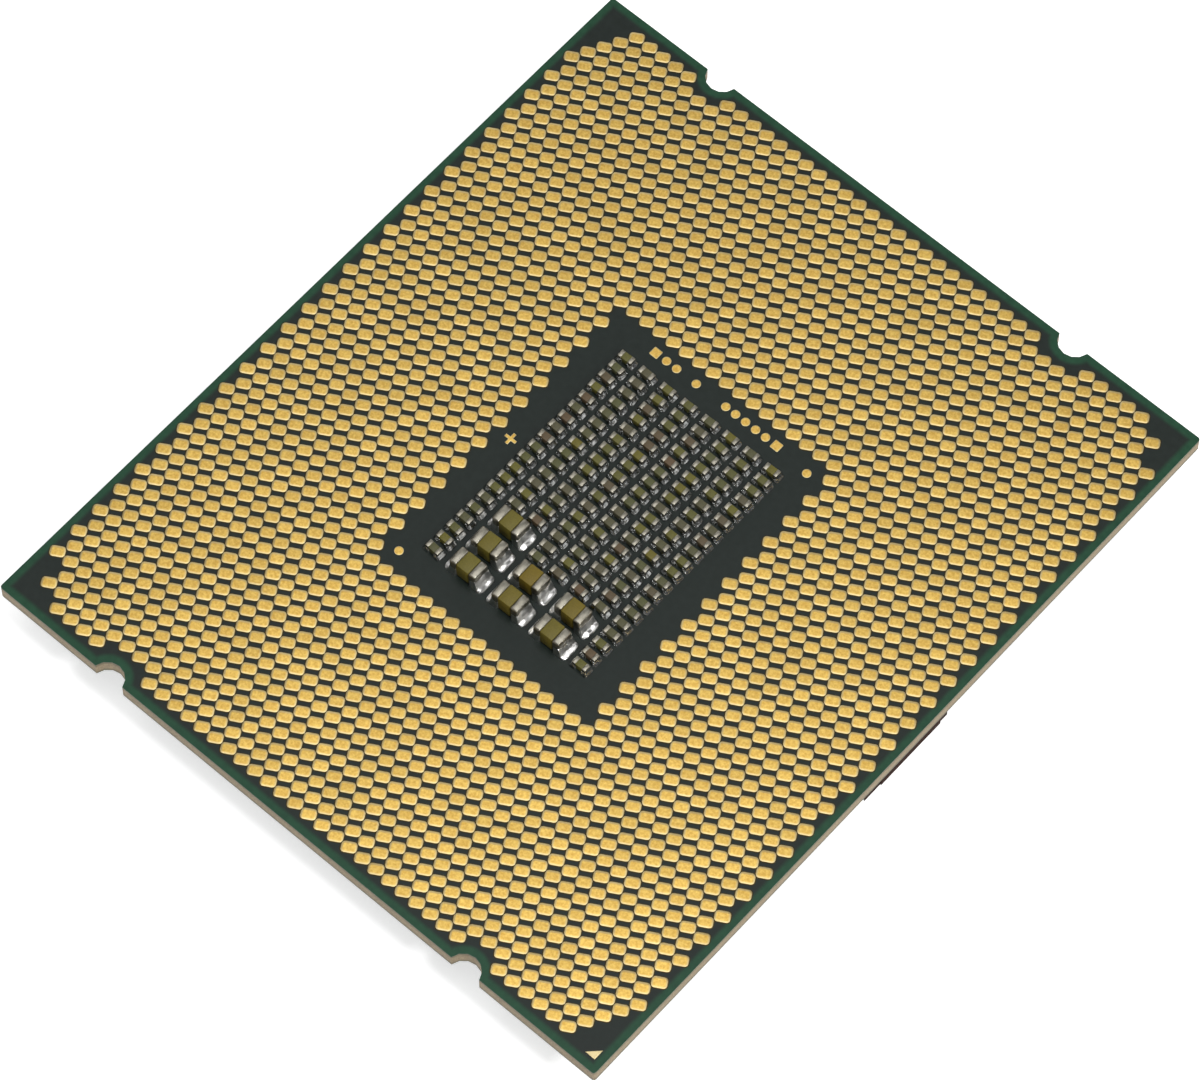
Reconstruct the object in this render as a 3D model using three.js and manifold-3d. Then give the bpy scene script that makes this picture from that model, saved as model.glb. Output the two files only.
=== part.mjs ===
// A processor package of the land grid array kind, lying on its heat spreader with its lands up.
// Lengths are in millimetres. X runs along the short side, Y along the long side, and +Z points
// out of the land side. The origin is the centre of the heat spreader's contact face.

import * as THREE from 'three';
import { mergeVertices } from 'three/addons/utils/BufferGeometryUtils.js';
import Module from 'manifold-3d';

const wasm = await Module();
wasm.setup();

// ---------------------------------------------------------------- driving dimensions

// The package outline, with two keying notches in each short edge.
const PACKAGE = { x: 45, y: 52.5, cornerRadius: 0.2 };
const NOTCH = { centresX: [-13.97, 13.03], radius: 1.05, depth: 0.87 };
const CURVE_STEPS = 3;

// The heat spreader: a stepped lid with a die cavity and one load tab on each long side.
const LID = { height: 3.4 };
const TABLE = { x: 34, y: 37.4, cornerRadius: 2, chamfer: 0.4, top: 2.3 };
const FLANGE = { x: 38, y: 41, cornerRadius: 1.2, bottom: 1.9 };
const LOAD_TAB = { reachX: 22.26, width: 7.2, centreY: 0.5, bottom: 2.3, top: 3.3 };
// The middle of each tab's sheared end stands a little proud.
const TAB_NOSE = { reachX: 22.33, width: 5.15, centreY: 0.85 };
const CAVITY = { x: 26, y: 29, cornerRadius: 1.5 };

// The sealant ring under the flange, with a vent gap in its -Y side.
const SEALANT = { x: 36.6, y: 39.6, width: 2, thickness: 0.16, ventWidth: 6 };

// The die and what holds it.
const DIE = { x: 17.6, y: 20.2, thickness: 0.775 };
const SOLDER_THICKNESS = 0.3;
const BUMP_THICKNESS = 0.07;
const UNDERFILL = { reach: 1.2, climb: 0.45, lip: 0.05 };

// The substrate's layers, the same on both sides of the core.
const CORE_THICKNESS = 0.55;
const BUILDUP_THICKNESS = 0.2;
const MASK_THICKNESS = 0.04;
const PLANE_THICKNESS = 0.02;
const PLANE_INSET = 0.42;

// The land grid: close-packed rows, with a rectangular opening for the capacitors.
const LAND = { pitch: 1.016, rowPitch: 0.88, columns: 43, rows: 58, thickness: 0.03 };
const LAND_OPENING = { x: 16, y: 21 };
const LAND_ROW_RUNS = [[-20.07, -14.99], [-12.95, 11.43], [14.48, 19.56]];
const LAND_CORNER_ROWS = 3;

// Gold marks and test pads on the land side.
const GOLD_THICKNESS = 0.03;
const PIN_ONE_TRIANGLE = { cornerX: 21.95, cornerY: -25.58, leg: 0.7 };
const DIE_SIDE_TRIANGLE = { cornerX: 21.8, cornerY: -25.5, leg: 1.6 };
const ALIGNMENT_CROSS = { x: -7.16, y: 0.03, span: 0.8, bar: 0.2 };
const TEST_PAD_ROW_Y = 9.78;
const SQUARE_PAD = { side: 0.59, centresX: [-4.63, 4.57] };
const ROUND_PAD_RADIUS = 0.28;
const ROUND_PAD_CENTRES_X = [-3.81, -3.04, -1.54, 0.72, 1.46, 2.22, 2.985, 3.735];
const LONE_PADS = [[7.03, 9.57], [-7.09, -9.56]];

// Ceramic capacitors in the opening, all with their long side along X.
const SMALL_CAPACITOR = { x: 1, y: 0.5, z: 0.53 };
const CAPACITOR_COLUMN_PITCH = 1.588;
const CAPACITOR_ROW_PITCH = 0.868;
const CAPACITOR_TOP_ROW_Y = 8.25;
const CAPACITORS_IN_COLUMN = [20, 14, 14, 16, 16, 16, 16, 20];
const PAD_STRIP_THICKNESS = 0.03;
const LARGE_CAPACITOR = { x: 1.95, y: 1.2, z: 1.3 };
const TERMINAL = { band: 0.53, wall: 0.05, filletReach: 0.5, filletClimb: 0.7 };
const LARGE_CAPACITOR_PLACES = [
  [-3.175, -4.35], [-3.175, -6.19], [-3.175, -7.96],
  [0, -6.19], [0, -7.96],
  [3.175, -6.19], [3.175, -7.96],
];

// Heights that follow from the stack.
const DIE_SIDE_Z = LID.height + SEALANT.thickness;
const BUMP_Z = DIE_SIDE_Z - BUMP_THICKNESS;
const DIE_Z = BUMP_Z - DIE.thickness;
const CAVITY_CEILING_Z = DIE_Z - SOLDER_THICKNESS;
const CORE_Z = DIE_SIDE_Z + MASK_THICKNESS + BUILDUP_THICKNESS;
const LAND_BUILDUP_Z = CORE_Z + CORE_THICKNESS;
const LAND_MASK_Z = LAND_BUILDUP_Z + BUILDUP_THICKNESS;
const LAND_SIDE_Z = LAND_MASK_Z + MASK_THICKNESS;

const FINISH = {
  nickel: { color: 0x9a9a96, roughness: 0.35, metalness: 1 },
  sealant: { color: 0x15171a, roughness: 0.7, metalness: 0 },
  solder: { color: 0xb4b6b8, roughness: 0.4, metalness: 1 },
  silicon: { color: 0x3a3d45, roughness: 0.15, metalness: 0.4 },
  underfill: { color: 0x1d2430, roughness: 0.5, metalness: 0 },
  laminate: { color: 0x8b8569, roughness: 0.8, metalness: 0 },
  buildup: { color: 0x5d6a4a, roughness: 0.6, metalness: 0 },
  copper: { color: 0xb5714a, roughness: 0.4, metalness: 1 },
  mask: { color: 0x2c3a33, roughness: 0.35, metalness: 0 },
  gold: { color: 0xcbac64, roughness: 0.35, metalness: 1 },
  ceramic: { color: 0x7d6f4e, roughness: 0.6, metalness: 0 },
  tin: { color: 0xc9c9c4, roughness: 0.3, metalness: 1 },
};

// ---------------------------------------------------------------- helpers

const processor = new THREE.Group();

function add(name, geometry, finish) {
  const piece = new THREE.Mesh(geometry, new THREE.MeshStandardMaterial(finish));
  piece.name = name;
  processor.add(piece);
  return piece;
}

function prism(shape, z, thickness, bevel = 0) {
  const geometry = new THREE.ExtrudeGeometry(shape, {
    depth: thickness - 2 * bevel,
    curveSegments: CURVE_STEPS,
    bevelEnabled: bevel > 0,
    bevelThickness: bevel,
    bevelSize: bevel,
    bevelOffset: -bevel,
    bevelSegments: 1,
  });
  return geometry.translate(0, 0, z + bevel);
}

function block(x, y, z, size) {
  const geometry = new THREE.BoxGeometry(size.x, size.y, size.z);
  return geometry.translate(x, y, z + size.z / 2);
}

function roundedRectangle(width, depth, radius) {
  const x = width / 2;
  const y = depth / 2;
  const shape = new THREE.Shape();
  shape.moveTo(radius - x, -y);
  shape.lineTo(x - radius, -y);
  shape.quadraticCurveTo(x, -y, x, radius - y);
  shape.lineTo(x, y - radius);
  shape.quadraticCurveTo(x, y, x - radius, y);
  shape.lineTo(radius - x, y);
  shape.quadraticCurveTo(-x, y, -x, y - radius);
  shape.lineTo(-x, radius - y);
  shape.quadraticCurveTo(-x, -y, radius - x, -y);
  return shape;
}

function polygon(points) {
  return new THREE.Shape(points.map(([x, y]) => new THREE.Vector2(x, y)));
}

function toSolid(geometry) {
  const bare = geometry.clone();
  bare.deleteAttribute('normal');
  bare.deleteAttribute('uv');
  const merged = mergeVertices(bare);
  const mesh = new wasm.Mesh({
    numProp: 3,
    vertProperties: merged.attributes.position.array,
    triVerts: Uint32Array.from(merged.index.array),
  });
  return new wasm.Manifold(mesh);
}

function toGeometry(solid) {
  const mesh = solid.getMesh();
  const geometry = new THREE.BufferGeometry();
  geometry.setAttribute('position', new THREE.BufferAttribute(mesh.vertProperties, 3));
  geometry.setIndex(new THREE.BufferAttribute(mesh.triVerts, 1));
  geometry.computeVertexNormals();
  return geometry;
}

function join(geometries) {
  return toGeometry(geometries.map(toSolid).reduce((whole, next) => whole.add(next)));
}

function cut(geometry, tool) {
  return toGeometry(toSolid(geometry).subtract(toSolid(tool)));
}

// ---------------------------------------------------------------- heat spreader and sealant

function heatSpreaderLid() {
  const table = prism(
    roundedRectangle(TABLE.x, TABLE.y, TABLE.cornerRadius), 0, TABLE.top, TABLE.chamfer,
  );
  const flange = prism(
    roundedRectangle(FLANGE.x, FLANGE.y, FLANGE.cornerRadius),
    FLANGE.bottom, LID.height - FLANGE.bottom,
  );
  const tabs = [LOAD_TAB, TAB_NOSE].map(({ reachX, width, centreY }) => (
    block(0, centreY, LOAD_TAB.bottom, {
      x: 2 * reachX, y: width, z: LOAD_TAB.top - LOAD_TAB.bottom,
    })
  ));
  const cavity = prism(
    roundedRectangle(CAVITY.x, CAVITY.y, CAVITY.cornerRadius), CAVITY_CEILING_Z, LID.height,
  );
  return cut(join([table, flange, ...tabs]), cavity);
}

// An open ring: down the outside from one edge of the vent gap, round, and back up the inside.
function sealantRing() {
  const x = SEALANT.x / 2;
  const y = SEALANT.y / 2;
  const vent = SEALANT.ventWidth / 2;
  const innerX = x - SEALANT.width;
  const innerY = y - SEALANT.width;
  const outer = [[vent, -y], [x, -y], [x, y], [-x, y], [-x, -y], [-vent, -y]];
  const inner = [
    [-vent, -innerY], [-innerX, -innerY], [-innerX, innerY],
    [innerX, innerY], [innerX, -innerY], [vent, -innerY],
  ];
  return prism(polygon([...outer, ...inner]), LID.height, SEALANT.thickness);
}

// ---------------------------------------------------------------- die

// A fillet of resin that climbs the die's four sides, wide at the substrate.
function underfillFillet() {
  const height = BUMP_THICKNESS + UNDERFILL.climb;
  const fillet = new THREE.BoxGeometry(1, 1, height);
  const corners = fillet.attributes.position;
  for (let i = 0; i < corners.count; i += 1) {
    const reach = corners.getZ(i) > 0 ? UNDERFILL.reach : UNDERFILL.lip;
    corners.setX(i, Math.sign(corners.getX(i)) * (DIE.x / 2 + reach));
    corners.setY(i, Math.sign(corners.getY(i)) * (DIE.y / 2 + reach));
  }
  fillet.translate(0, 0, DIE_SIDE_Z - height / 2);
  return cut(fillet, block(0, 0, DIE_Z, { x: DIE.x, y: DIE.y, z: 2 * DIE.thickness }));
}

function addDieStack() {
  const layer = (z, thickness) => block(0, 0, z, { x: DIE.x, y: DIE.y, z: thickness });
  add('thermal_solder', layer(CAVITY_CEILING_Z, SOLDER_THICKNESS), FINISH.solder);
  add('silicon_die', layer(DIE_Z, DIE.thickness), FINISH.silicon);
  add('solder_bump_layer', layer(BUMP_Z, BUMP_THICKNESS), FINISH.solder);
  add('underfill', underfillFillet(), FINISH.underfill);
}

// ---------------------------------------------------------------- substrate

// side is 1 for the +Y edge and -1 for the -Y edge. The circle's centre lies outside the edge.
function addNotch(shape, centreX, side, inset) {
  const offset = NOTCH.radius - NOTCH.depth;
  const radius = NOTCH.radius + inset;
  const rise = offset + inset;
  const halfWidth = Math.sqrt(radius ** 2 - rise ** 2);
  const start = Math.atan2(-side * rise, side * halfWidth);
  const end = Math.atan2(-side * rise, -side * halfWidth);
  shape.absarc(centreX, side * (PACKAGE.y / 2 + offset), radius, start, end, true);
}

function packageOutline(inset = 0) {
  const x = PACKAGE.x / 2 - inset;
  const y = PACKAGE.y / 2 - inset;
  const radius = PACKAGE.cornerRadius;
  const shape = new THREE.Shape();
  shape.moveTo(radius - x, -y);
  NOTCH.centresX.forEach((centreX) => addNotch(shape, centreX, -1, inset));
  shape.lineTo(x - radius, -y);
  shape.quadraticCurveTo(x, -y, x, radius - y);
  shape.lineTo(x, y - radius);
  shape.quadraticCurveTo(x, y, x - radius, y);
  NOTCH.centresX.toReversed().forEach((centreX) => addNotch(shape, centreX, 1, inset));
  shape.lineTo(radius - x, y);
  shape.quadraticCurveTo(-x, y, -x, y - radius);
  shape.lineTo(-x, radius - y);
  shape.quadraticCurveTo(-x, -y, radius - x, -y);
  return shape;
}

// The mask covers its copper plane's face and edges, so it is cut back where the plane lies.
function maskOver(z, planeZ) {
  const mask = prism(packageOutline(), z, MASK_THICKNESS);
  return cut(mask, copperPlane(planeZ));
}

function copperPlane(z) {
  return prism(packageOutline(PLANE_INSET), z, PLANE_THICKNESS);
}

function addSubstrate() {
  const diePlaneZ = DIE_SIDE_Z + MASK_THICKNESS - PLANE_THICKNESS;
  add('solder_mask_die_side', maskOver(DIE_SIDE_Z, diePlaneZ), FINISH.mask);
  add('copper_plane_die_side', copperPlane(diePlaneZ), FINISH.copper);
  const layer = (z, thickness) => prism(packageOutline(), z, thickness);
  add('buildup_die_side', layer(CORE_Z - BUILDUP_THICKNESS, BUILDUP_THICKNESS), FINISH.buildup);
  add('substrate_core', layer(CORE_Z, CORE_THICKNESS), FINISH.laminate);
  add('buildup_land_side', layer(LAND_BUILDUP_Z, BUILDUP_THICKNESS), FINISH.buildup);
  add('copper_plane_land_side', copperPlane(LAND_MASK_Z), FINISH.copper);
  add('solder_mask_land_side', maskOver(LAND_MASK_Z, LAND_MASK_Z), FINISH.mask);
}

// ---------------------------------------------------------------- lands, marks and test pads

// The plated lands as one thin field. Corner sites are empty, the outermost row stops at the
// notches, and the middle is left open for the capacitors.
function landField() {
  const fullWidth = (LAND.columns + 0.5) * LAND.pitch;
  const insetWidth = fullWidth - 2 * LAND.pitch;
  const rowEdge = (rowsFromMiddle) => rowsFromMiddle * LAND.rowPitch;
  const slab = (x, width, depth) => block(x, 0, LAND_SIDE_Z, {
    x: width, y: depth, z: LAND.thickness,
  });
  const halfRows = LAND.rows / 2;
  const slabs = [
    slab(0, fullWidth, 2 * rowEdge(halfRows - LAND_CORNER_ROWS)),
    slab(0, insetWidth, 2 * rowEdge(halfRows - 1)),
  ];
  LAND_ROW_RUNS.forEach(([from, to]) => {
    slabs.push(slab((from + to) / 2, to - from, 2 * rowEdge(halfRows)));
  });
  const opening = block(0, 0, 0, { ...LAND_OPENING, z: 2 * LAND_SIDE_Z });
  return cut(join(slabs), opening);
}

function triangle({ cornerX, cornerY, leg }, z) {
  const points = [[cornerX - leg, cornerY], [cornerX, cornerY], [cornerX, cornerY + leg]];
  return prism(polygon(points), z, GOLD_THICKNESS);
}

function alignmentCross() {
  const { x, y, span, bar } = ALIGNMENT_CROSS;
  const flat = block(x, y, LAND_SIDE_Z, { x: span, y: bar, z: GOLD_THICKNESS });
  const upright = block(x, y, LAND_SIDE_Z, { x: bar, y: span, z: GOLD_THICKNESS });
  return join([flat, upright]);
}

function roundPad(x, y) {
  const circle = new THREE.Shape().absarc(x, y, ROUND_PAD_RADIUS, 0, 2 * Math.PI, false);
  return prism(circle, LAND_SIDE_Z, GOLD_THICKNESS);
}

function squarePad(x, y) {
  return block(x, y, LAND_SIDE_Z, { x: SQUARE_PAD.side, y: SQUARE_PAD.side, z: GOLD_THICKNESS });
}

function addGoldwork() {
  add('contact_land_field', landField(), FINISH.gold);
  add('pin_one_mark_land_side', triangle(PIN_ONE_TRIANGLE, LAND_SIDE_Z), FINISH.gold);
  add('pin_one_mark_die_side', triangle(DIE_SIDE_TRIANGLE, DIE_SIDE_Z - GOLD_THICKNESS), FINISH.gold);
  add('alignment_mark', alignmentCross(), FINISH.gold);
  SQUARE_PAD.centresX.forEach((x, i) => {
    add(`square_test_pad_${i + 1}`, squarePad(x, TEST_PAD_ROW_Y), FINISH.gold);
  });
  const rounds = [...ROUND_PAD_CENTRES_X.map((x) => [x, TEST_PAD_ROW_Y]), ...LONE_PADS];
  rounds.forEach(([x, y], i) => {
    add(`round_test_pad_${i + 1}`, roundPad(x, y), FINISH.gold);
  });
}

// ---------------------------------------------------------------- capacitors

// One column of small capacitors, seen along X as a comb: each chip stands on the strip of
// plating that feeds the column.
function capacitorColumn(x, count) {
  const half = SMALL_CAPACITOR.y / 2;
  const comb = Array.from({ length: count }).flatMap((_, row) => {
    const y = CAPACITOR_TOP_ROW_Y - row * CAPACITOR_ROW_PITCH;
    return [
      [y + half, PAD_STRIP_THICKNESS], [y + half, SMALL_CAPACITOR.z],
      [y - half, SMALL_CAPACITOR.z], [y - half, PAD_STRIP_THICKNESS],
    ];
  });
  comb[0][1] = 0;
  comb.at(-1)[1] = 0;
  const geometry = prism(polygon(comb), -SMALL_CAPACITOR.x / 2, SMALL_CAPACITOR.x);
  geometry.rotateX(Math.PI / 2);
  geometry.rotateZ(Math.PI / 2);
  return geometry.translate(x, 0, LAND_SIDE_Z);
}

// The +X end of a large capacitor, seen along Y: a band that wraps the ceramic and a fillet.
function terminalProfile() {
  const end = LARGE_CAPACITOR.x / 2;
  const top = LARGE_CAPACITOR.z;
  const { band, wall, filletReach, filletClimb } = TERMINAL;
  const shape = new THREE.Shape();
  shape.moveTo(end - band, 0);
  shape.lineTo(end + filletReach, 0);
  shape.quadraticCurveTo(end, 0, end, filletClimb);
  shape.lineTo(end, top);
  shape.lineTo(end - band, top);
  shape.lineTo(end - band, top - wall);
  shape.lineTo(end - wall, top - wall);
  shape.lineTo(end - wall, wall);
  shape.lineTo(end - band, wall);
  return shape;
}

function capacitorTerminal(x, y, side) {
  const geometry = prism(terminalProfile(), -LARGE_CAPACITOR.y / 2, LARGE_CAPACITOR.y);
  geometry.rotateX(Math.PI / 2);
  if (side < 0) {
    geometry.rotateZ(Math.PI);
  }
  return geometry.translate(x, y, LAND_SIDE_Z);
}

function capacitorCeramic(x, y) {
  return block(x, y, LAND_SIDE_Z + TERMINAL.wall, {
    x: LARGE_CAPACITOR.x - 2 * TERMINAL.wall,
    y: LARGE_CAPACITOR.y,
    z: LARGE_CAPACITOR.z - 2 * TERMINAL.wall,
  });
}

function addCapacitors() {
  const middle = (CAPACITORS_IN_COLUMN.length - 1) / 2;
  CAPACITORS_IN_COLUMN.forEach((count, i) => {
    const x = (i - middle) * CAPACITOR_COLUMN_PITCH;
    add(`small_capacitor_column_${i + 1}`, capacitorColumn(x, count), FINISH.ceramic);
  });
  LARGE_CAPACITOR_PLACES.forEach(([x, y], i) => {
    const name = `large_capacitor_${i + 1}`;
    add(`${name}_ceramic`, capacitorCeramic(x, y), FINISH.ceramic);
    add(`${name}_terminal_minus_x`, capacitorTerminal(x, y, -1), FINISH.tin);
    add(`${name}_terminal_plus_x`, capacitorTerminal(x, y, 1), FINISH.tin);
  });
}

// ---------------------------------------------------------------- assembly

add('heat_spreader_lid', heatSpreaderLid(), FINISH.nickel);
add('lid_sealant', sealantRing(), FINISH.sealant);
addDieStack();
addSubstrate();
addGoldwork();
addCapacitors();

export default processor;
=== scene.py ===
"""The looks of a processor package that lies on its heat spreader with its contact lands up.

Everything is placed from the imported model's own boxes. Lengths are metres; MM turns millimetres
into them. The package's short side runs along X and its long side along Y.
"""

import math
import random
from functools import partial

import bmesh
import bpy
from mathutils import Matrix, Vector, noise


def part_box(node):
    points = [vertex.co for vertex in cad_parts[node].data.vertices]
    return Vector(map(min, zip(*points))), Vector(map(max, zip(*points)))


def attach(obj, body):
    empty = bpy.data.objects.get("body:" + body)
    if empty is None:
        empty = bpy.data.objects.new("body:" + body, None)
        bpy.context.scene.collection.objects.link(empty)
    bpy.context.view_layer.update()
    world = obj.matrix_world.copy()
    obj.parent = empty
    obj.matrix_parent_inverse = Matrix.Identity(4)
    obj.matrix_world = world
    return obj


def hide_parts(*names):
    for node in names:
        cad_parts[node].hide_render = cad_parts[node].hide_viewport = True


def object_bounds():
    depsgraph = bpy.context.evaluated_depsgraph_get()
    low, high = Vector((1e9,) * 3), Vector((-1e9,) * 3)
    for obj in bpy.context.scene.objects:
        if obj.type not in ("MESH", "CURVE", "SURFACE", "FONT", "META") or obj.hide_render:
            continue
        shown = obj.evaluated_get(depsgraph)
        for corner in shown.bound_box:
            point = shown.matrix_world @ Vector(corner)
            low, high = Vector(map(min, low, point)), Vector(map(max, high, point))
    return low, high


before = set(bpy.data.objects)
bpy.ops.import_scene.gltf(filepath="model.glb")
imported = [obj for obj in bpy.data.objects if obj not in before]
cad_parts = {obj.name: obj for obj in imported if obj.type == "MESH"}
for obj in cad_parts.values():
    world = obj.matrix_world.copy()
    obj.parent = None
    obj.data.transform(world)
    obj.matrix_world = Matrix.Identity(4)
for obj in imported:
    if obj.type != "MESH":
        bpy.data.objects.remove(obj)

MM = 0.001
CAD_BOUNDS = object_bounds()

# ------------------------------------------------------------------ sizes, in millimetres

# The land grid: close-packed rows of rounded lands, each turned the same way.
LAND_PITCH = 1.016
LAND_ROW_PITCH = LAND_PITCH * math.sqrt(3) / 2
LAND_COLUMNS = 43
LAND_ROWS = 58
LAND_SIZE = (0.925, 0.69)
LAND_CORNER = 0.21
LAND_TURN = math.radians(30)
LAND_BEVEL = 0.009
LAND_HIGHLIGHT_RIM = 0.15  # how far in from a land's edge its paler rim, a painted highlight, fades away
LAND_SKIRT = 0.045  # how far the mask's low lip reaches past the gold
LAND_LIP = 0.2  # the lip's height, as a share of the land's
OPENING_HALF_X = 8.0
OPENING_ROWS = range(17, 41)
CORNER_LIMIT_OUTER_ROW = 20.0
CORNER_LIMIT_NEXT_ROWS = 21.0

# The round notches in both short edges. A land of the outermost rows is left out where it would be
# nearer to a notch's middle, along X, than the clearance.
NOTCH_X = (-13.97, 13.03)
NOTCH_RADIUS = 1.05
NOTCH_DEPTH = 0.87
NOTCH_CLEARANCE = 1.3

# Small capacitors, in columns along Y. A band is the length of one end's terminal. A solder pad is
# given by how far its inner and outer ends lie from the capacitor's middle and by its half width.
CHIP = (1.0, 0.5, 0.5)
CHIP_BAND = 0.26
CHIP_BEVEL = 0.045
CHIP_LIFT = 0.02
CHIP_PAD = (0.15, 0.69, 0.375)
CHIP_SOLDER = {
    "meniscus": 0.11, "climb": 0.22, "reach": 0.07, "unevenness": 0.35, "squareness": 3,
    "steps": 12,
}
CHIP_POOL_SHAPES = 8
CHIP_COLUMN_PITCH = 1.588
CHIP_ROW_PITCH = 0.868
CHIP_TOP_ROW_Y = 8.25
CHIPS_IN_COLUMN = (20, 14, 14, 16, 16, 16, 16, 20)
CHIP_STRAY = (0.02, 0.015)  # how far a capacitor may lie off its place, along X and along Y
CHIP_TILT = 1.3  # spread of the turn about Z, in degrees

# Large capacitors.
LARGE = (1.95, 1.2, 1.25)
LARGE_BAND = 0.53
LARGE_BEVEL = 0.13
LARGE_LIFT = 0.05
LARGE_PAD = (0.43, 1.435, 0.70)
LARGE_PAD_SHIFT = 0.04
LARGE_TILT = 0.8
LARGE_SOLDER = {
    "meniscus": 0.15, "climb": 0.60, "reach": 0.07, "unevenness": 0.45, "squareness": 7,
    "steps": 28,
}

# How far a terminal stands proud of its ceramic, and how far the ceramic runs into it.
CHIP_PROUD = 0.012
LARGE_PROUD = 0.01
TERMINAL_LAP = 0.02

# Test pads and marks.
MARK_BEVEL = 0.012
MARK_TONE = 0.7

# How far in from the end of a load tab it is coloured dark brown and not metallic.
TAB_DARK_END = 0.11

# The green rim of the solder mask, where no copper lies under it.
RIM_INNER = 0.28
RIM_OUTER = 0.62

# Faces that meet at a steeper angle than this have a sharp edge between them.
SHARP_ANGLE = math.radians(40)

# The camera: its bearing, turned from -Y towards +X, and its elevation, both seen from the point on
# the land side that it aims at, and its distance from there.
VIEW_AZIMUTH = math.radians(41.5)
VIEW_ELEVATION = math.radians(62.64)
VIEW_AIM = (1.02, -1.48)
VIEW_DISTANCE = 362.6
LENS = 191.24
SENSOR = 36

# ------------------------------------------------------------------ shapes


class Shape:
    """Vertices and faces of many copies, with two numbers for each vertex: tone, which is the same
    all over one copy, and rim, which is 0 inside a pad, 1 at its edge and 2 on the lip round it."""

    def __init__(self):
        self.verts, self.faces, self.tone, self.rim = [], [], [], []

    def add(self, part, place, tone, rim=None):
        verts, faces = part
        first = len(self.verts)
        self.verts += [place @ Vector(v) for v in verts]
        self.faces += [tuple(first + i for i in face) for face in faces]
        self.tone += [tone] * len(verts)
        self.rim += rim or [0.0] * len(verts)


def make_piece(name, shape, material, replaced):
    """A piece from a Shape in millimetres, riding on the root in place of CAD nodes."""
    mesh = bpy.data.meshes.new(name)
    mesh.from_pydata([v * MM for v in shape.verts], [], shape.faces)
    for label, values in (("tone", shape.tone), ("rim", shape.rim)):
        mesh.attributes.new(label, "FLOAT", "POINT").data.foreach_set("value", values)
    finish_mesh(mesh)
    piece = bpy.data.objects.new(name, mesh)
    bpy.context.scene.collection.objects.link(piece)
    mesh.materials.append(material)
    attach(piece, "root")
    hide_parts(*replaced)


def finish_mesh(mesh):
    """Faces outward, smooth shading, and sharp edges where faces meet at a steep angle."""
    shell = bmesh.new()
    shell.from_mesh(mesh)
    bmesh.ops.recalc_face_normals(shell, faces=shell.faces)
    shell.to_mesh(mesh)
    shell.free()
    mesh.shade_smooth()
    mesh.set_sharp_from_angle(angle=SHARP_ANGLE)


def rounded_rectangle(half_x, half_y, radius):
    points, steps = [], 3
    for quarter, (side_x, side_y) in enumerate(((1, 1), (-1, 1), (-1, -1), (1, -1))):
        for step in range(steps + 1):
            angle = math.pi / 2 * (quarter + step / steps)
            points.append((
                side_x * (half_x - radius) + radius * math.cos(angle),
                side_y * (half_y - radius) + radius * math.sin(angle),
            ))
    return points


def loft(rings):
    """A closed skin through rings of equal length, with a flat cap at each end."""
    count = len(rings[0])
    last = (len(rings) - 1) * count
    faces = [tuple(reversed(range(count))), tuple(range(last, last + count))]
    for level in range(len(rings) - 1):
        a, b = level * count, (level + 1) * count
        for i in range(count):
            j = (i + 1) % count
            faces.append((a + i, a + j, b + j, b + i))
    return [point for ring in rings for point in ring], faces


def pad(outline, base_z, face_z, bevel, highlight_rim_width, skirt=0.0):
    """A thin plated pad. outline(inset) gives its points, and base_z is the side that it sits on.
    The skirt is the mask's low lip round it. Returns the part and each vertex's rim value."""
    up = math.copysign(bevel, face_z - base_z)
    low_z = base_z + LAND_LIP * (face_z - base_z)
    levels = [
        (-skirt, base_z, 2.0), (-skirt, low_z, 2.0), (0, low_z, 2.0), (0, face_z - up, 1.0),
        (0.3 * bevel, face_z - 0.3 * up, 1.0), (bevel, face_z, 1.0), (highlight_rim_width, face_z, 0.0),
    ]
    if not skirt:
        levels = [(0, base_z, 1.0)] + levels[3:]
    rings = [[(x, y, z) for x, y in outline(inset)] for inset, z, _ in levels]
    rim = [value for ring, (_, _, value) in zip(rings, levels) for _ in ring]
    return loft(rings), rim


def soft_box(size, bevel, segments=2):
    """A box with rounded edges, standing on z = 0 and centred in X and Y."""
    box = bmesh.new()
    bmesh.ops.create_cube(box, size=1)
    for vert in box.verts:
        vert.co = Vector((vert.co.x * size[0], vert.co.y * size[1], (vert.co.z + 0.5) * size[2]))
    bmesh.ops.bevel(
        box, geom=box.edges[:], offset=bevel, segments=segments, profile=0.5, affect="EDGES",
    )
    box.verts.index_update()
    part = [v.co.copy() for v in box.verts], [tuple(v.index for v in f.verts) for f in box.faces]
    box.free()
    return part


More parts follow.
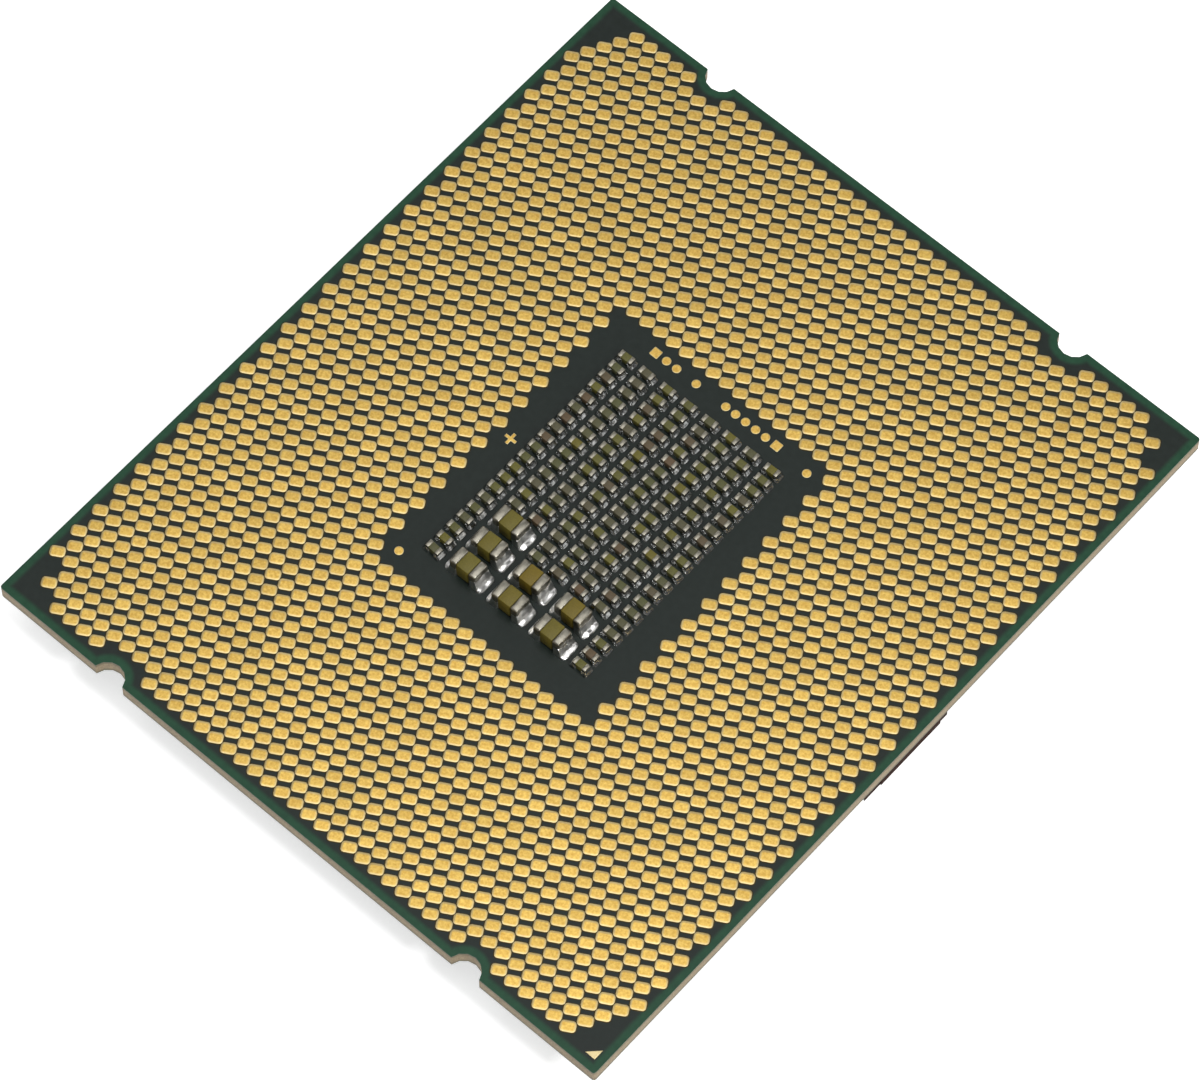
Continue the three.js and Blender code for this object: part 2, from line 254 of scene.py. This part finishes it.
def solder_pool(pad, chip, seed, meniscus, climb, reach, unevenness, squareness, steps):
    """The solder on one pad, at +X of a capacitor's middle: a thin rounded pool that climbs the
    terminal standing in it. reach is how fast the climb dies away from the terminal, and a high
    squareness keeps the pool flat almost to its edge."""
    corner_rounding, sunk_z, waves, seed_step = 0.30, -0.02, 1.6, 9.1
    inner, outer, half_y = pad
    half_x, centre_x = (outer - inner) / 2, (inner + outer) / 2
    # Steps along a sine crowd towards the pool's edges, where it curves most.
    spread = [math.sin(math.pi / 2 * (2 * i / steps - 1)) for i in range(steps + 1)]
    verts = []
    for v in spread:
        for u in spread:
            x = centre_x + half_x * u * math.sqrt(1 - corner_rounding * v ** 6)
            y = half_y * v * math.sqrt(1 - corner_rounding * u ** 6)
            gap = math.hypot(max(0.0, x - chip[0] / 2), max(0.0, abs(y) - chip[1] / 2))
            edge = math.sqrt((1 - abs(u) ** squareness) * (1 - abs(v) ** squareness))
            wander = 1 + unevenness * noise.noise(Vector((x, y, seed_step * seed)) * waves / half_y)
            z = (meniscus * edge + climb * math.exp(-gap / reach) * min(1.0, 2 * edge)) * wander
            verts.append((x, y, z if edge > 0 else 0.0))
    row = steps + 1
    corners = [i * row + j for i in range(steps) for j in range(steps)]
    faces = [(a, a + 1, a + row + 1, a + row) for a in corners]
    # A short wall goes down from the border, which runs once round the grid, to a flat bottom.
    border = list(range(row)) + [i * row + steps for i in range(1, row)]
    border += [steps * row + j for j in range(steps - 1, -1, -1)]
    border += [i * row for i in range(steps - 1, 0, -1)]
    low = len(verts)
    verts += [(*verts[i][:2], sunk_z) for i in border]
    for k, here in enumerate(border):
        following = (k + 1) % len(border)
        faces.append((here, border[following], low + following, low + k))
    faces.append(tuple(range(low, low + len(border))))
    return verts, faces


# ------------------------------------------------------------------ materials


class Finish:
    """A material under construction, with short ways to add nodes to it."""

    def __init__(self, name, metallic=0.0, ior=1.5):
        self.material = bpy.data.materials.new(name)
        self.material.use_nodes = True
        self.tree = self.material.node_tree
        self.shader = self.tree.nodes["Principled BSDF"]
        self.shader.inputs["Metallic"].default_value = metallic
        self.shader.inputs["IOR"].default_value = ior
        coordinates = self.tree.nodes.new("ShaderNodeTexCoord").outputs["Object"]
        self.place = self.vector("SCALE", coordinates, scale=1 / MM)

    def feed(self, node, label, value):
        socket = node.inputs[label]
        if isinstance(value, bpy.types.NodeSocket):
            self.tree.links.new(value, socket)
        else:
            socket.default_value = value

    def vector(self, operation, a, b=None, scale=None):
        node = self.tree.nodes.new("ShaderNodeVectorMath")
        node.operation = operation
        self.feed(node, 0, a)
        if b is not None:
            self.feed(node, 1, b)
        if scale is not None:
            self.feed(node, "Scale", scale)
        return node.outputs["Value" if operation == "DISTANCE" else "Vector"]

    def math(self, operation, a, b=0.0, c=0.0):
        node = self.tree.nodes.new("ShaderNodeMath")
        node.operation = operation
        for i, value in enumerate((a, b, c)):
            self.feed(node, i, value)
        return node.outputs[0]

    def axes(self, vector):
        node = self.tree.nodes.new("ShaderNodeSeparateXYZ")
        self.feed(node, 0, vector)
        return node.outputs[0], node.outputs[1], node.outputs[2]

    def noise(self, per_mm, detail=3, stretch=(1, 1, 1)):
        node = self.tree.nodes.new("ShaderNodeTexNoise")
        self.feed(node, "Vector", self.vector("MULTIPLY", self.place, stretch))
        self.feed(node, "Scale", per_mm)
        self.feed(node, "Detail", detail)
        return node.outputs["Fac"]

    def attribute(self, label):
        node = self.tree.nodes.new("ShaderNodeAttribute")
        node.attribute_name = label
        return node.outputs["Fac"]

    def ramp(self, factor, *stops):
        """stops are (position, colour) pairs, and a colour may be one grey number."""
        node = self.tree.nodes.new("ShaderNodeValToRGB")
        elements = node.color_ramp.elements
        while len(elements) < len(stops):
            elements.new(0.5)
        for element, (position, colour) in zip(elements, stops):
            element.position = position
            element.color = (*((colour,) * 3 if isinstance(colour, float) else colour), 1)
        self.feed(node, "Fac", factor)
        return node.outputs["Color"]

    def mix(self, factor, a, b, blend="MIX"):
        node = self.tree.nodes.new("ShaderNodeMix")
        node.data_type = "RGBA"
        node.blend_type = blend
        self.feed(node, 0, factor)
        for label, value in (("A", a), ("B", b)):
            socket = [s for s in node.inputs if s.name == label and s.type == "RGBA"][0]
            if isinstance(value, bpy.types.NodeSocket):
                self.tree.links.new(value, socket)
            else:
                socket.default_value = (*value, 1)
        return [s for s in node.outputs if s.type == "RGBA"][0]

    def remap(self, value, low, high):
        """A 0 to 1 value spread between low and high."""
        return self.math("MULTIPLY_ADD", value, high - low, low)

    def bump(self, height, depth_mm, strength=1.0):
        node = self.tree.nodes.new("ShaderNodeBump")
        self.feed(node, "Strength", strength)
        self.feed(node, "Distance", depth_mm * MM)
        self.feed(node, "Height", height)
        self.tree.links.new(node.outputs["Normal"], self.shader.inputs["Normal"])

    def done(self, colour=None, roughness=None):
        if colour is not None:
            self.feed(self.shader, "Base Color", colour)
        if roughness is not None:
            self.feed(self.shader, "Roughness", roughness)
        return self.material


def contact_gold():
    """Gold plating with a fine grain in the middle of each pad, a paler rim, which is a painted
    highlight, and round it the dark lip of the mask. The rim value is 0 in the middle, 1 at the
    rim and 2 on the lip."""
    f = Finish("contact_gold", metallic=1.0)
    grain = f.noise(7, detail=4)
    cloud = f.noise(0.9, detail=3)
    middle = f.ramp(grain, (0.3, (0.74, 0.44, 0.090)), (0.7, (0.98, 0.69, 0.185)))
    # The paler rim colour is a painted highlight on the lands' rounded edges.
    edge = f.ramp(cloud, (0.35, (0.76, 0.62, 0.32)), (0.65, (0.83, 0.70, 0.39)))
    rim = f.attribute("rim")
    gold = f.mix(f.math("MINIMUM", rim, 1.0), middle, edge)
    gold = f.mix(f.math("SUBTRACT", rim, 1.0), gold, (0.085, 0.055, 0.014))
    shade = f.ramp(f.attribute("tone"), (0.0, 0.86), (1.0, 1.0))
    f.bump(grain, 0.006, 0.5)
    return f.done(f.mix(1.0, gold, shade, "MULTIPLY"), f.remap(f.noise(6), 0.34, 0.5))


def rim_factor(f):
    """1 near the package's outline and its notches, and 0 over the copper inside."""
    low, high = CAD_BOUNDS
    half_x, half_y = high.x / MM, high.y / MM
    x, y, _ = f.axes(f.place)
    far_y = f.math("ABSOLUTE", y)
    node = f.tree.nodes.new("ShaderNodeCombineXYZ")
    f.feed(node, 0, x)
    f.feed(node, 1, far_y)
    inward = f.math(
        "MINIMUM", f.math("SUBTRACT", half_x, f.math("ABSOLUTE", x)),
        f.math("SUBTRACT", half_y, far_y),
    )
    centre_y = half_y + NOTCH_RADIUS - NOTCH_DEPTH
    for notch_x in NOTCH_X:
        gap = f.vector("DISTANCE", node.outputs[0], (notch_x, centre_y, 0))
        inward = f.math("MINIMUM", inward, f.math("SUBTRACT", gap, NOTCH_RADIUS))
    ramp = f.tree.nodes.new("ShaderNodeMapRange")
    ramp.interpolation_type = "SMOOTHSTEP"
    for label, value in (
        ("Value", inward), ("From Min", RIM_INNER), ("From Max", RIM_OUTER),
        ("To Min", 1.0), ("To Max", 0.0),
    ):
        f.feed(ramp, label, value)
    return ramp.outputs["Result"]


def solder_mask():
    """Semi-gloss dark green lacquer: nearly black over copper, green at the bare rim."""
    f = Finish("solder_mask", ior=1.5)
    f.shader.inputs["Specular IOR Level"].default_value = 0.36
    mottle = f.noise(2.2, detail=5)
    over_copper = f.ramp(mottle, (0.3, (0.004, 0.010, 0.007)), (0.7, (0.008, 0.015, 0.012)))
    bare = f.ramp(mottle, (0.3, (0.003, 0.048, 0.020)), (0.7, (0.010, 0.068, 0.030)))
    f.bump(f.noise(5, detail=2), 0.004, 0.35)
    return f.done(f.mix(rim_factor(f), over_copper, bare), f.remap(mottle, 0.34, 0.5))


def laminate():
    """The cut edge of glass-fibre laminate: pale resin streaked along the weave."""
    f = Finish("laminate", ior=1.5)
    streaks = f.noise(6, detail=4, stretch=(0.25, 0.25, 3))
    fibres = f.noise(14, detail=2, stretch=(1, 1, 0.6))
    resin = f.ramp(streaks, (0.3, (0.19, 0.135, 0.075)), (0.7, (0.36, 0.28, 0.165)))
    f.bump(fibres, 0.02, 0.5)
    return f.done(
        f.mix(0.35, resin, f.ramp(fibres, (0.35, (0.12, 0.085, 0.050)), (0.6, (0.42, 0.34, 0.22)))),
        f.remap(fibres, 0.55, 0.8),
    )


def buildup_resin():
    """The cut edge of the build-up layers: brown resin, darker than the laminate of the core."""
    f = Finish("buildup_resin", ior=1.5)
    grain = f.noise(9, detail=3, stretch=(0.5, 0.5, 2))
    return f.done(
        f.ramp(grain, (0.3, (0.11, 0.085, 0.045)), (0.7, (0.24, 0.19, 0.105))),
        f.remap(grain, 0.5, 0.7),
    )


def copper():
    f = Finish("copper", metallic=1.0)
    cloud = f.noise(1.5, detail=4)
    return f.done(
        f.ramp(cloud, (0.3, (0.55, 0.27, 0.15)), (0.7, (0.72, 0.38, 0.22))),
        f.remap(cloud, 0.3, 0.5),
    )


def nickel():
    """Satin nickel plating with a fine blasted grain. The load tabs' ends are dark brown, matt and
    not metallic."""
    f = Finish("nickel", metallic=1.0)
    grain = f.noise(16, detail=3)
    cloud = f.noise(0.15, detail=3)
    f.bump(grain, 0.004, 0.4)
    plating = f.ramp(cloud, (0.3, (0.42, 0.41, 0.385)), (0.7, (0.50, 0.49, 0.46)))
    # The last stretch of each load tab is dark brown, matt and not metallic.
    dark_brown = f.ramp(grain, (0.3, (0.018, 0.008, 0.006)), (0.7, (0.050, 0.022, 0.015)))
    half_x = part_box("heat_spreader_lid")[1].x / MM
    dark_end = f.math("GREATER_THAN", f.math("ABSOLUTE", f.axes(f.place)[0]), half_x - TAB_DARK_END)
    f.feed(f.shader, "Metallic", f.math("SUBTRACT", 1.0, dark_end))
    f.feed(f.shader, "Specular IOR Level", f.math("MULTIPLY_ADD", dark_end, -0.4, 0.5))
    roughness = f.math("MAXIMUM", f.remap(grain, 0.30, 0.42), f.math("MULTIPLY", dark_end, 0.9))
    return f.done(f.mix(dark_end, plating, dark_brown), roughness)


def sealant_rubber():
    f = Finish("sealant", ior=1.43)
    lumps = f.noise(1.2, detail=4)
    f.bump(lumps, 0.05, 0.6)
    return f.done(
        f.ramp(lumps, (0.3, (0.010, 0.011, 0.013)), (0.7, (0.022, 0.023, 0.026))),
        f.remap(lumps, 0.45, 0.7),
    )


def solder(name, low, high, rough_low, rough_high):
    """Solder or tin: bright metal with soft, cloudy variation in shine."""
    f = Finish(name, metallic=1.0)
    cloud = f.noise(4, detail=4)
    f.bump(f.noise(9, detail=3), 0.008, 0.5)
    return f.done(f.ramp(cloud, (0.3, low), (0.7, high)), f.remap(cloud, rough_low, rough_high))


def silicon():
    f = Finish("silicon", metallic=0.3, ior=2.5)
    cloud = f.noise(0.6, detail=3)
    return f.done(
        f.ramp(cloud, (0.3, (0.05, 0.055, 0.07)), (0.7, (0.09, 0.095, 0.11))),
        f.remap(cloud, 0.12, 0.2),
    )


def underfill_resin():
    f = Finish("underfill", ior=1.5)
    cloud = f.noise(1.4, detail=3)
    f.bump(cloud, 0.03, 0.5)
    return f.done(
        f.ramp(cloud, (0.3, (0.012, 0.016, 0.026)), (0.7, (0.03, 0.036, 0.05))),
        f.remap(cloud, 0.3, 0.5),
    )


def ceramic():
    """Fired capacitor ceramic: olive in most copies, browner or greyer in a few."""
    f = Finish("capacitor_ceramic", ior=1.6)
    f.shader.inputs["Specular IOR Level"].default_value = 0.3
    speckle = f.noise(14, detail=3)
    body = f.ramp(
        f.attribute("tone"), (0.0, (0.150, 0.095, 0.048)), (0.18, (0.118, 0.105, 0.060)),
        (0.5, (0.112, 0.115, 0.042)), (0.8, (0.165, 0.150, 0.025)), (1.0, (0.215, 0.150, 0.012)),
    )
    grain = f.ramp(speckle, (0.3, 0.70), (0.7, 0.92))
    f.bump(speckle, 0.006, 0.4)
    return f.done(f.mix(1.0, body, grain, "MULTIPLY"), f.remap(speckle, 0.45, 0.6))


def floor_paper():
    f = Finish("floor", ior=1.4)
    cloud = f.noise(0.02, detail=2)
    f.shader.inputs["Emission Color"].default_value = (1, 1, 1, 1)
    f.shader.inputs["Emission Strength"].default_value = 0.6
    return f.done(f.ramp(cloud, (0.3, (0.86, 0.86, 0.86)), (0.7, (0.88, 0.88, 0.88))), 0.9)


# ------------------------------------------------------------------ lands and pads


def land_sites():
    """Every land's centre, with its row."""
    for row in range(LAND_ROWS):
        y = (row - (LAND_ROWS - 1) / 2) * LAND_ROW_PITCH
        shift = 0 if row % 2 else LAND_PITCH / 2
        edge_rows = min(row, LAND_ROWS - 1 - row)
        for column in range(LAND_COLUMNS):
            x = (column - (LAND_COLUMNS - 0.5) / 2) * LAND_PITCH + shift
            in_opening = row in OPENING_ROWS and abs(x) < OPENING_HALF_X
            outer_corner = edge_rows == 0 and abs(x) > CORNER_LIMIT_OUTER_ROW
            next_corner = edge_rows in (1, 2) and abs(x) > CORNER_LIMIT_NEXT_ROWS
            at_notch = edge_rows == 0 and any(abs(x - n) < NOTCH_CLEARANCE for n in NOTCH_X)
            if not (in_opening or outer_corner or next_corner or at_notch):
                yield x, y, row


def land_outline(inset):
    half_x, half_y = (side / 2 - inset for side in LAND_SIZE)
    return rounded_rectangle(half_x, half_y, max(LAND_CORNER - inset, 0.03))


def land_block(x, row):
    """Which of the four blocks round the opening a land belongs to."""
    if row < OPENING_ROWS.start:
        return "south"
    if row >= OPENING_ROWS.stop:
        return "north"
    return "west" if x < 0 else "east"


def make_lands(gold):
    draw = random.Random(11)
    low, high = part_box("contact_land_field")
    part, rim = pad(land_outline, low.z / MM, high.z / MM, LAND_BEVEL, LAND_HIGHLIGHT_RIM, LAND_SKIRT)
    blocks = {side: Shape() for side in ("north", "south", "east", "west")}
    turn = Matrix.Rotation(LAND_TURN, 4, "Z")
    for x, y, row in land_sites():
        place = Matrix.Translation((x, y, 0)) @ turn
        blocks[land_block(x, row)].add(part, place, draw.random(), rim)
    for side, shape in blocks.items():
        make_piece(f"contact_lands_{side}", shape, gold, ["contact_land_field"])


def flat_mark(node, outline, gold, faces_up=True, pale=False, highlight_rim_width=0.06):
    """A gold pad or mark that fills the box of its CAD node. outline(half_x, half_y, inset) gives
    its points about the box's centre. A pale mark has the painted highlight colour of a land's rim
    all over."""
    low, high = (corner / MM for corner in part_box(node))
    centre, half = (low + high) / 2, (high - low) / 2
    base_z, face_z = (low.z, high.z) if faces_up else (high.z, low.z)
    points = partial(outline, half.x, half.y)
    part, rim = pad(points, base_z, face_z, MARK_BEVEL, highlight_rim_width)
    shape = Shape()
    if pale:
        rim = [1.0] * len(rim)
    shape.add(part, Matrix.Translation((centre.x, centre.y, 0)), MARK_TONE, rim)
    make_piece(f"{node}_plating", shape, gold, [node])


def disc(half_x, half_y, inset):
    steps = 36
    turns = (2 * math.pi * i / steps for i in range(steps))
    return [((half_x - inset) * math.cos(t), (half_x - inset) * math.sin(t)) for t in turns]


def square(half_x, half_y, inset):
    return rounded_rectangle(half_x - inset, half_y - inset, max(0.06 - inset, 0.02))


def triangle(half_x, half_y, inset):
    """A right triangle whose right angle is at +X, -Y."""
    slant = inset * (1 + math.sqrt(2))
    return [
        (-half_x + slant, -half_y + inset), (half_x - inset, -half_y + inset),
        (half_x - inset, half_y - slant),
    ]


def cross(half_x, half_y, inset):
    """A plus sign with arms of equal length."""
    half_bar = 0.1
    arm, reach = half_bar - min(inset, half_bar / 2), half_x - inset
    corner = [(reach, -arm), (reach, arm), (arm, arm)]
    points = []
    for quarter in range(4):
        turn = Matrix.Rotation(math.pi / 2 * quarter, 2)
        points += [tuple(turn @ Vector(p)) for p in corner]
    return points


def make_marks(gold):
    for node in sorted(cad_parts):
        if node.startswith("round_test_pad"):
            flat_mark(node, disc, gold)
        if node.startswith("square_test_pad"):
            flat_mark(node, square, gold)
    flat_mark("pin_one_mark_land_side", triangle, gold, pale=True)
    flat_mark("pin_one_mark_die_side", triangle, gold, faces_up=False)
    flat_mark("alignment_mark", cross, gold, highlight_rim_width=0.04)


# ------------------------------------------------------------------ capacitors


def capacitor_parts(size, band, bevel, proud):
    """The ceramic and the terminal at its +X end, which wraps it a little proud."""
    ceramic_bevel = 0.7 * bevel
    length, width, height = size
    body_length = length - 2 * band + 2 * TERMINAL_LAP
    body = soft_box((body_length, width - 2 * proud, height - proud), ceramic_bevel)
    end = soft_box((band, width, height), bevel, segments=3)
    shift = Matrix.Translation((length / 2 - band / 2, 0, 0))
    return body, ([shift @ Vector(v) for v in end[0]], end[1])


def make_small_capacitors(ceramic_finish, tin, solder_finish):
    draw = random.Random(5)
    body, end = capacitor_parts(CHIP, CHIP_BAND, CHIP_BEVEL, CHIP_PROUD)
    pools = [solder_pool(CHIP_PAD, CHIP, seed, **CHIP_SOLDER) for seed in range(CHIP_POOL_SHAPES)]
    middle = (len(CHIPS_IN_COLUMN) - 1) / 2
    stray_x, stray_y = CHIP_STRAY
    for column, count in enumerate(CHIPS_IN_COLUMN):
        node = f"small_capacitor_column_{column + 1}"
        base_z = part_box(node)[0].z / MM
        bodies, ends, solder_pools = Shape(), Shape(), Shape()
        for row in range(count):
            x = (column - middle) * CHIP_COLUMN_PITCH + draw.uniform(-stray_x, stray_x)
            y = CHIP_TOP_ROW_Y - row * CHIP_ROW_PITCH + draw.uniform(-stray_y, stray_y)
            tilt = Matrix.Rotation(math.radians(draw.gauss(0, CHIP_TILT)), 4, "Z")
            place = Matrix.Translation((x, y, base_z)) @ tilt
            lifted = place @ Matrix.Translation((0, 0, CHIP_LIFT))
            bodies.add(body, lifted, draw.random() ** 0.8 * 0.85)
            for turn in (Matrix(), Matrix.Rotation(math.pi, 4, "Z")):
                ends.add(end, lifted @ turn, draw.random())
                solder_pools.add(draw.choice(pools), place @ turn, draw.random())
        make_piece(f"{node}_ceramics", bodies, ceramic_finish, [node])
        make_piece(f"{node}_terminals", ends, tin, [node])
        make_piece(f"{node}_solder", solder_pools, solder_finish, [node])


def make_large_capacitors(ceramic_finish, tin, solder_finish):
    draw = random.Random(8)
    body, end = capacitor_parts(LARGE, LARGE_BAND, LARGE_BEVEL, LARGE_PROUD)
    shift = Matrix.Translation((LARGE_PAD_SHIFT, 0, 0))
    names = sorted(n[: -len("_ceramic")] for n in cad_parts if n.endswith("_ceramic"))
    for seed, name in enumerate(names):
        low, high = (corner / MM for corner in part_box(f"{name}_ceramic"))
        base_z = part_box(f"{name}_terminal_plus_x")[0].z / MM
        place = Matrix.Translation(((low.x + high.x) / 2, (low.y + high.y) / 2, base_z))
        place = place @ Matrix.Rotation(math.radians(draw.gauss(0, LARGE_TILT)), 4, "Z")
        lifted = place @ Matrix.Translation((0, 0, LARGE_LIFT))
        ceramic_shape = Shape()
        ceramic_shape.add(body, lifted, draw.uniform(0.84, 1.0))
        make_piece(
            f"{name}_body", ceramic_shape, ceramic_finish, [f"{name}_ceramic"],
        )
        for side, turn in (("plus_x", Matrix()), ("minus_x", Matrix.Rotation(math.pi, 4, "Z"))):
            terminal, joint = Shape(), Shape()
            terminal.add(end, lifted @ turn, draw.random())
            pool = solder_pool(LARGE_PAD, LARGE, seed + 10 * len(side), **LARGE_SOLDER)
            joint.add(pool, place @ shift @ turn, draw.random())
            replaced = [f"{name}_terminal_{side}"]
            make_piece(f"{name}_end_{side}", terminal, tin, replaced)
            make_piece(f"{name}_solder_{side}", joint, solder_finish, replaced)


# ------------------------------------------------------------------ substrate, lid and inside


def dress(node, material):
    """Gives a CAD node that stays as it is a finished material."""
    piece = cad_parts[node]
    piece.data.materials.clear()
    piece.data.materials.append(material)


def dress_substrate_and_die(tin_solder):
    mask, foil, resin = solder_mask(), copper(), buildup_resin()
    for side in ("land_side", "die_side"):
        dress(f"solder_mask_{side}", mask)
        dress(f"copper_plane_{side}", foil)
        dress(f"buildup_{side}", resin)
    dress("substrate_core", laminate())
    dress("silicon_die", silicon())
    dress("underfill", underfill_resin())
    dress("thermal_solder", tin_solder)
    dress("solder_bump_layer", tin_solder)


# ------------------------------------------------------------------ stage


def make_floor():
    """A wide sheet, just under the lid's face so that the two don't share a plane."""
    half, z = 1.5, -0.02 * MM
    mesh = bpy.data.meshes.new("floor")
    corners = [(-half, -half, z), (half, -half, z), (half, half, z), (-half, half, z)]
    mesh.from_pydata(corners, [], [(0, 1, 2, 3)])
    mesh.materials.append(floor_paper())
    floor = bpy.data.objects.new("floor", mesh)
    bpy.context.scene.collection.objects.link(floor)


def make_camera():
    """A long lens, held level, that looks down on the land side."""
    across, along = math.cos(VIEW_AZIMUTH), math.sin(VIEW_AZIMUTH)
    flat, rise = math.cos(VIEW_ELEVATION), math.sin(VIEW_ELEVATION)
    right = Vector((across, along, 0))
    back = Vector((along * flat, -across * flat, rise))
    turn = Matrix((right, back.cross(right), back)).transposed().to_4x4()
    aim = Vector((VIEW_AIM[0] * MM, VIEW_AIM[1] * MM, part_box("contact_land_field")[1].z))
    data = bpy.data.cameras.new("camera")
    data.sensor_width = SENSOR
    data.lens = LENS
    data.clip_start = 0.02
    camera = bpy.data.objects.new("camera", data)
    camera.matrix_world = Matrix.Translation(aim + back * VIEW_DISTANCE * MM) @ turn
    bpy.context.scene.collection.objects.link(camera)
    bpy.context.scene.camera = camera


def add_area_light(name, direction, distance, size, watts):
    """A square light that faces the object from the given direction."""
    data = bpy.data.lights.new(name, "AREA")
    data.shape = "SQUARE"
    data.size = size
    data.energy = watts
    lamp = bpy.data.objects.new(name, data)
    towards = Vector(direction).normalized()
    lamp.location = towards * distance
    lamp.rotation_euler = towards.to_track_quat("Z", "Y").to_euler()
    bpy.context.scene.collection.objects.link(lamp)


def light_the_stage():
    world = bpy.data.worlds.new("studio")
    world.use_nodes = True
    background = world.node_tree.nodes["Background"]
    background.inputs["Color"].default_value = (1, 1, 1, 1)
    background.inputs["Strength"].default_value = 0.09
    bpy.context.scene.world = world
    bpy.context.scene.view_settings.view_transform = "Standard"
    add_area_light("overhead", (0, 0, 1), distance=0.7, size=0.60, watts=2.24)
    add_area_light("key", (0.70, -0.06, 0.71), distance=0.6, size=0.08, watts=1.5)
    # Low soft boxes, which the gold reflects in a view from the opposite side.
    for name, direction, size, watts in (
        ("low_minus_x_plus_y", (-0.62, 0.62, 0.47), 0.50, 0.75),
        ("low_plus_x_plus_y", (0.62, 0.62, 0.47), 0.50, 0.75),
        ("low_minus_x_minus_y", (-0.62, -0.62, 0.47), 0.50, 0.40),
        ("low_plus_x_minus_y", (0.65, -0.60, 0.47), 0.20, 0.50),
    ):
        add_area_light(name, direction, 0.8, size, watts)


# ------------------------------------------------------------------ scene

make_camera()
light_the_stage()
make_floor()

gold = contact_gold()
tin = solder("terminal_tin", (0.28, 0.262, 0.215), (0.44, 0.415, 0.345), 0.30, 0.40)
joint_solder = solder("solder_joint", (0.66, 0.66, 0.64), (0.86, 0.85, 0.83), 0.24, 0.38)
# The small capacitors' solder is a darker copy of the joint solder: painted shade for the dark
# surroundings that it reflects.
shaded_solder = solder("solder_joint_shaded", (0.34, 0.35, 0.35), (0.64, 0.64, 0.63), 0.12, 0.25)
indium = solder("thermal_solder", (0.50, 0.51, 0.53), (0.66, 0.67, 0.68), 0.35, 0.5)
capacitor_ceramic = ceramic()
make_lands(gold)
make_marks(gold)
make_small_capacitors(capacitor_ceramic, tin, shaded_solder)
make_large_capacitors(capacitor_ceramic, tin, joint_solder)
dress_substrate_and_die(indium)
dress("heat_spreader_lid", nickel())
dress("lid_sealant", sealant_rubber())
